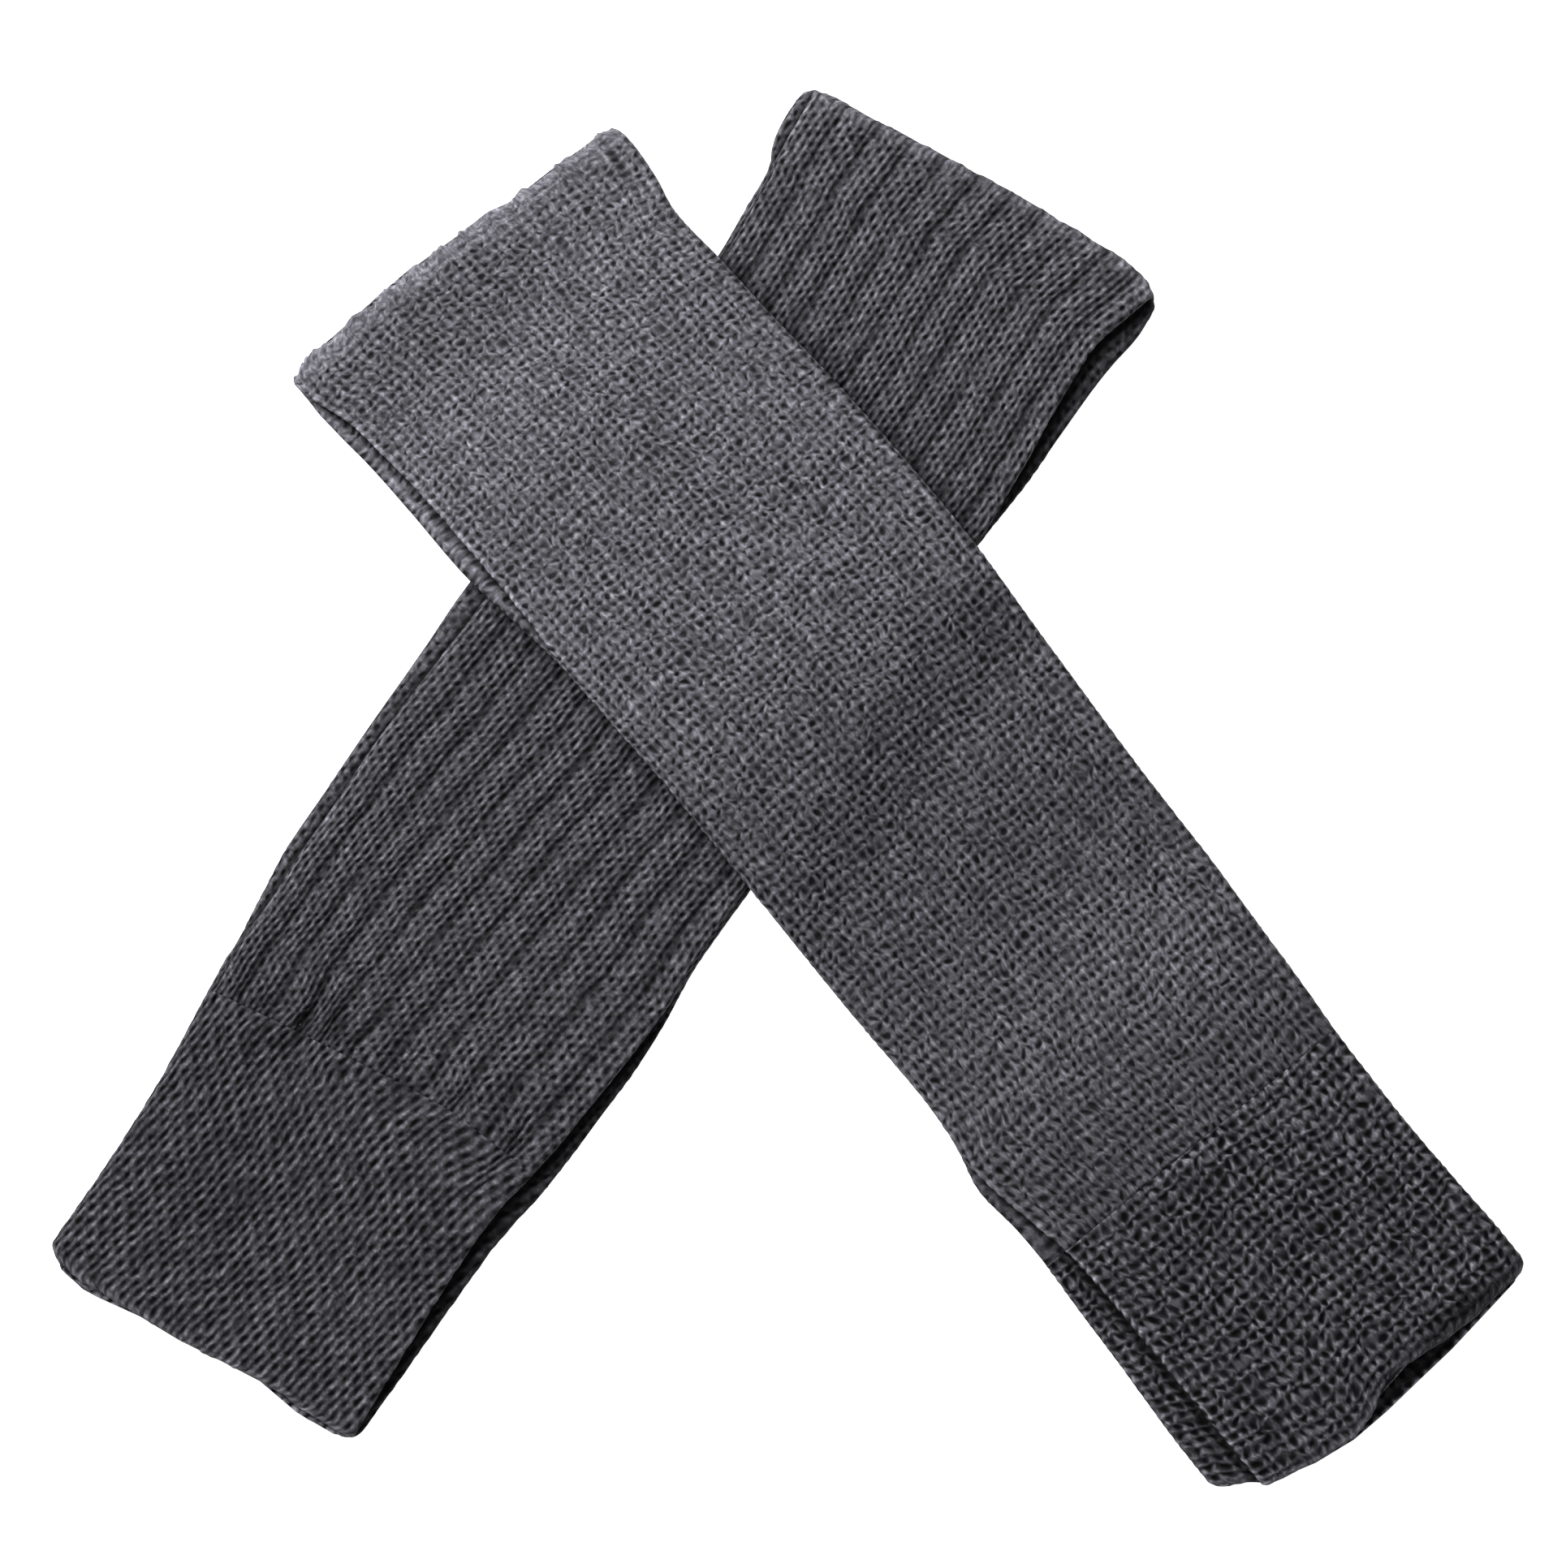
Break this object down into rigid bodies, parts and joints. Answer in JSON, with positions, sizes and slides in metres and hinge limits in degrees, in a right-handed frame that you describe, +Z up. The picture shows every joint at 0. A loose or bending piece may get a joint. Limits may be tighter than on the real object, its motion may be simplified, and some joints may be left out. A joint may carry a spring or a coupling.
{
  "type": "pair of knitted leg warmers",
  "caption": "Pair of charcoal knitted leg warmers laid flat and crossed, each a tube with a ribbed ankle cuff and open ends.",
  "frame": {"origin": "middle of the crossed pair's footprint, on the surface it lies on", "axes": "+Z up from the surface, +Y towards the knee ends, +X to the right as seen from above; the upper leg warmer runs from -X+Y to +X-Y, the lower one from +X+Y to -X-Y"},
  "size_m": [0.4265, 0.4051, 0.0103],
  "materials": {
    "leg_yarn": "charcoal marl acrylic and wool yarn, machine knitted, matt and slightly fuzzy",
    "cuff_yarn": "the same charcoal yarn, knitted more loosely in narrow ribs for the ankle cuffs"
  },
  "bodies": {
    "root": {"upper_leg": "leg_yarn", "upper_cuff": "cuff_yarn", "lower_leg": "leg_yarn", "lower_cuff": "cuff_yarn"}
  },
  "joints": []
}
